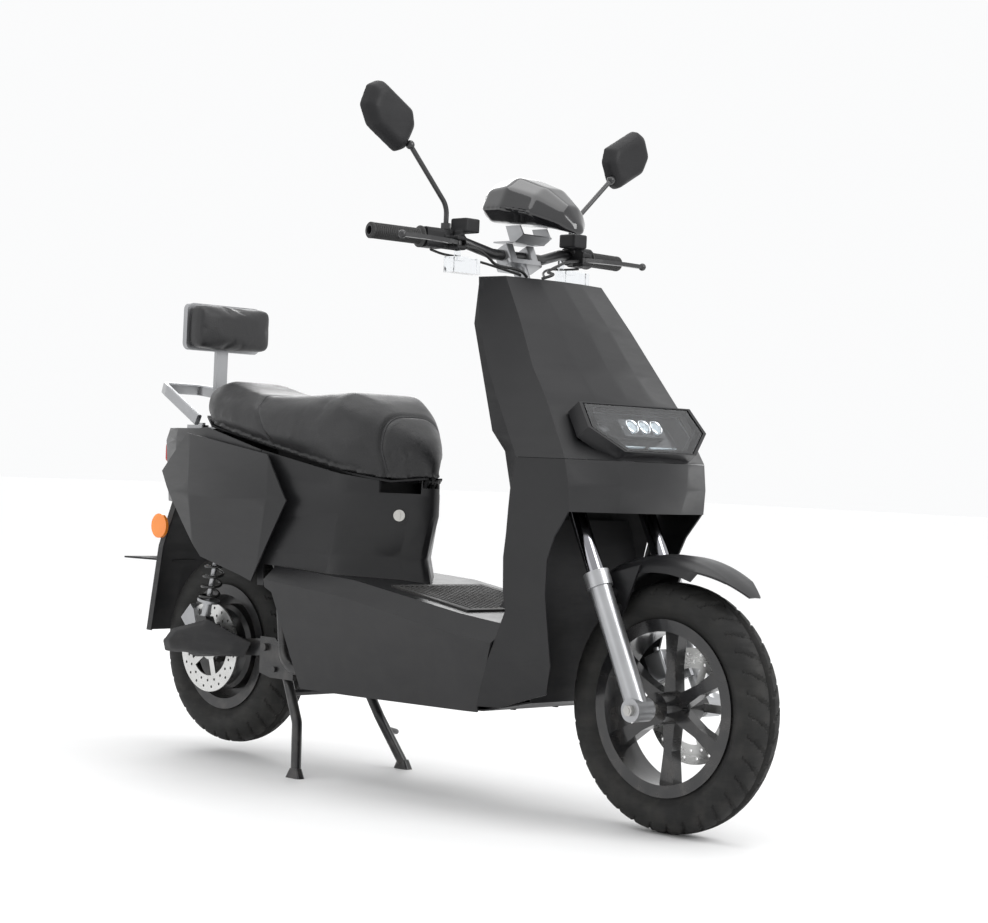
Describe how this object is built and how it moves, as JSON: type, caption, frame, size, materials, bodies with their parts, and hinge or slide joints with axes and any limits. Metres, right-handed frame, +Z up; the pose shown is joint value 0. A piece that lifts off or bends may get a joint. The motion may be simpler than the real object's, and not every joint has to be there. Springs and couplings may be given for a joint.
{
  "type": "moped scooter",
  "caption": "Electric moped scooter on its centre stand with step-through floor, long seat, backrest, suspended wheels, mirrors and working controls.",
  "frame": {"origin": "middle of the overall length and width, on the ground", "axes": "+X forward, +Y to the rider's left, +Z up"},
  "size_m": [1.912, 0.8164, 1.4001],
  "materials": {
    "body_plastic": "satin moulded charcoal plastic",
    "gloss_black": "gloss",
    "black_plastic": "fine textured black plastic",
    "tyre_rubber": "matt rubber with tread",
    "rim_black": "gloss black paint",
    "disc_steel": "ground steel",
    "silver_alloy": "satin silver",
    "dark_chrome": "polished dark chrome",
    "frame_paint": "black powder coat",
    "steel": "zinc plated",
    "seat_vinyl": "soft grained black vinyl",
    "rubber_black": "matt rubber",
    "clear_lens": "clear polycarbonate",
    "red_lens": "gloss",
    "battery_case": "moulded case",
    "spring_black": "black paint"
  },
  "bodies": {
    "chassis": {"main_frame": "frame_paint", "battery_pack": "battery_case", "storage_tub": "black_plastic", "front_shield": "body_plastic", "leg_shield": "body_plastic", "front_cowl": "body_plastic", "splash_guard": "black_plastic", "headlight_housing": "gloss_black", "headlight_lens": "clear_lens", "floorboard": "body_plastic", "floor_mat": "rubber_black", "belly_pan": "black_plastic", "seat_cowl": "body_plastic", "right_side_panel": "body_plastic", "left_side_panel": "body_plastic", "tail_cover": "body_plastic", "rear_lamps": "red_lens", "rear_mudguard": "black_plastic", "grab_rail": "silver_alloy", "backrest_frame": "silver_alloy", "backrest_pad": "seat_vinyl"},
    "key": {"key_switch": "steel"},
    "seat": {"seat_pan": "black_plastic", "seat_cushion": "seat_vinyl"},
    "steering": {"steering_stem": "silver_alloy", "fork_stanchions": "dark_chrome", "handlebar": "frame_paint", "left_grip": "rubber_black", "switch_housings": "black_plastic", "brake_reservoirs": "black_plastic", "dash_bracket": "silver_alloy", "dash_pod": "gloss_black", "turn_signals": "clear_lens", "control_cables": "rubber_black"},
    "throttle": {"throttle_grip": "rubber_black"},
    "right_brake": {"right_lever": "frame_paint"},
    "left_brake": {"left_lever": "frame_paint"},
    "right_mirror_stem": {"right_mirror_arm": "frame_paint"},
    "left_mirror_stem": {"left_mirror_arm": "frame_paint"},
    "right_mirror": {"right_mirror_head": "black_plastic"},
    "left_mirror": {"left_mirror_head": "black_plastic"},
    "horn": {"horn_button": "rubber_black"},
    "fork_sliders": {"fork_lowers": "silver_alloy", "front_mudguard": "body_plastic", "front_caliper": "silver_alloy", "front_axle": "steel"},
    "front_wheel": {"front_rim": "rim_black", "front_tyre": "tyre_rubber", "front_disc": "disc_steel"},
    "rear_arm": {"swingarm": "frame_paint", "swingarm_covers": "black_plastic", "rear_caliper": "silver_alloy"},
    "rear_wheel": {"rear_hub": "rim_black", "rear_tyre": "tyre_rubber", "rear_disc": "disc_steel"},
    "shock_bodies": {"shock_uppers": "frame_paint", "shock_springs": "spring_black"},
    "shock_rods": {"shock_lowers": "silver_alloy"},
    "stand": {"centre_stand": "frame_paint"},
    "prop_stand": {"side_stand": "frame_paint"}
  },
  "joints": [
    {"name": "steering_turn", "type": "hinge", "parent": "chassis", "child": "steering", "pos_m": [0.37705, 0, 0.85], "axis": [-0.4384, 0, 0.8988], "range_deg": [-40, 40]},
    {"name": "throttle_twist", "type": "hinge", "parent": "steering", "child": "throttle", "pos_m": [0.21977, -0.29574, 1.11317], "axis": [-0.1562, -0.9876, 0.0138], "range_deg": [0, 70], "stiffness_Nm_per_rad": 0.3, "springref_deg": -5.73},
    {"name": "right_brake_pull", "type": "hinge", "parent": "steering", "child": "right_brake", "pos_m": [0.2722, -0.1792, 1.10355], "axis": [0, 0, -1], "range_deg": [0, 18], "stiffness_Nm_per_rad": 2, "springref_deg": -5.73},
    {"name": "left_brake_pull", "type": "hinge", "parent": "steering", "child": "left_brake", "pos_m": [0.2722, 0.1792, 1.10355], "axis": [0, 0, 1], "range_deg": [0, 18], "stiffness_Nm_per_rad": 2, "springref_deg": -5.73},
    {"name": "right_mirror_swing", "type": "hinge", "parent": "steering", "child": "right_mirror_stem", "pos_m": [0.2382, -0.1792, 1.13155], "axis": [0, 0, 1], "range_deg": [-40, 40]},
    {"name": "left_mirror_swing", "type": "hinge", "parent": "steering", "child": "left_mirror_stem", "pos_m": [0.2382, 0.1792, 1.13155], "axis": [0, 0, 1], "range_deg": [-40, 40]},
    {"name": "right_mirror_aim", "type": "hinge", "parent": "right_mirror_stem", "child": "right_mirror", "pos_m": [0.2442, -0.289, 1.284], "axis": [0, 0, 1], "range_deg": [-10, 10]},
    {"name": "left_mirror_aim", "type": "hinge", "parent": "left_mirror_stem", "child": "left_mirror", "pos_m": [0.2442, 0.289, 1.284], "axis": [0, 0, 1], "range_deg": [-10, 10]},
    {"name": "horn_press", "type": "slide", "parent": "steering", "child": "horn", "axis": [1, 0, 0], "range_m": [0, 0.0025], "stiffness_N_per_m": 400, "springref_m": -0.001},
    {"name": "fork_slide", "type": "slide", "parent": "steering", "child": "fork_sliders", "axis": [-0.4384, 0, 0.8988], "range_m": [0, 0.05], "stiffness_N_per_m": 14000, "springref_m": -0.04},
    {"name": "front_wheel_spin", "type": "hinge", "parent": "fork_sliders", "child": "front_wheel", "pos_m": [0.722, 0, 0.234], "axis": [0, 1, 0], "continuous": true},
    {"name": "swingarm_swing", "type": "hinge", "parent": "chassis", "child": "rear_arm", "pos_m": [-0.318, 0, 0.262], "axis": [0, 1, 0], "range_deg": [0, 12], "stiffness_Nm_per_rad": 1200, "springref_deg": -6.88},
    {"name": "rear_wheel_spin", "type": "hinge", "parent": "rear_arm", "child": "rear_wheel", "pos_m": [-0.578, 0, 0.239], "axis": [0, 1, 0], "continuous": true},
    {"name": "shock_tilt", "type": "hinge", "parent": "chassis", "child": "shock_bodies", "pos_m": [-0.5, 0, 0.56], "axis": [0, 1, 0], "range_deg": [-0.5, 0.1]},
    {"name": "shock_slide", "type": "slide", "parent": "shock_bodies", "child": "shock_rods", "axis": [0.2265, 0, 0.974], "range_m": [0, 0.0515], "deforming": ["shock_springs"]},
    {"name": "stand_fold", "type": "hinge", "parent": "chassis", "child": "stand", "pos_m": [-0.285, 0, 0.217], "axis": [0, 1, 0], "range_deg": [0, 92]},
    {"name": "side_stand_fold", "type": "hinge", "parent": "chassis", "child": "prop_stand", "pos_m": [-0.02, 0.138, 0.172], "axis": [0, -1, 0], "range_deg": [0, 100], "stiffness_Nm_per_rad": 0.8, "springref_deg": -68.75},
    {"name": "seat_lift", "type": "hinge", "parent": "chassis", "child": "seat", "pos_m": [0.04, 0, 0.632], "axis": [0, 1, 0], "range_deg": [0, 65]},
    {"name": "key_turn", "type": "hinge", "parent": "chassis", "child": "key", "pos_m": [0.0026, -0.054, 0.56], "axis": [0.678, -0.735, 0], "range_deg": [0, 90]}
  ],
  "couplings": [
    {"joint": "shock_tilt", "follows": "swingarm_swing", "ratio": -0.024},
    {"joint": "shock_slide", "follows": "swingarm_swing", "m_per_rad": 0.2445}
  ]
}
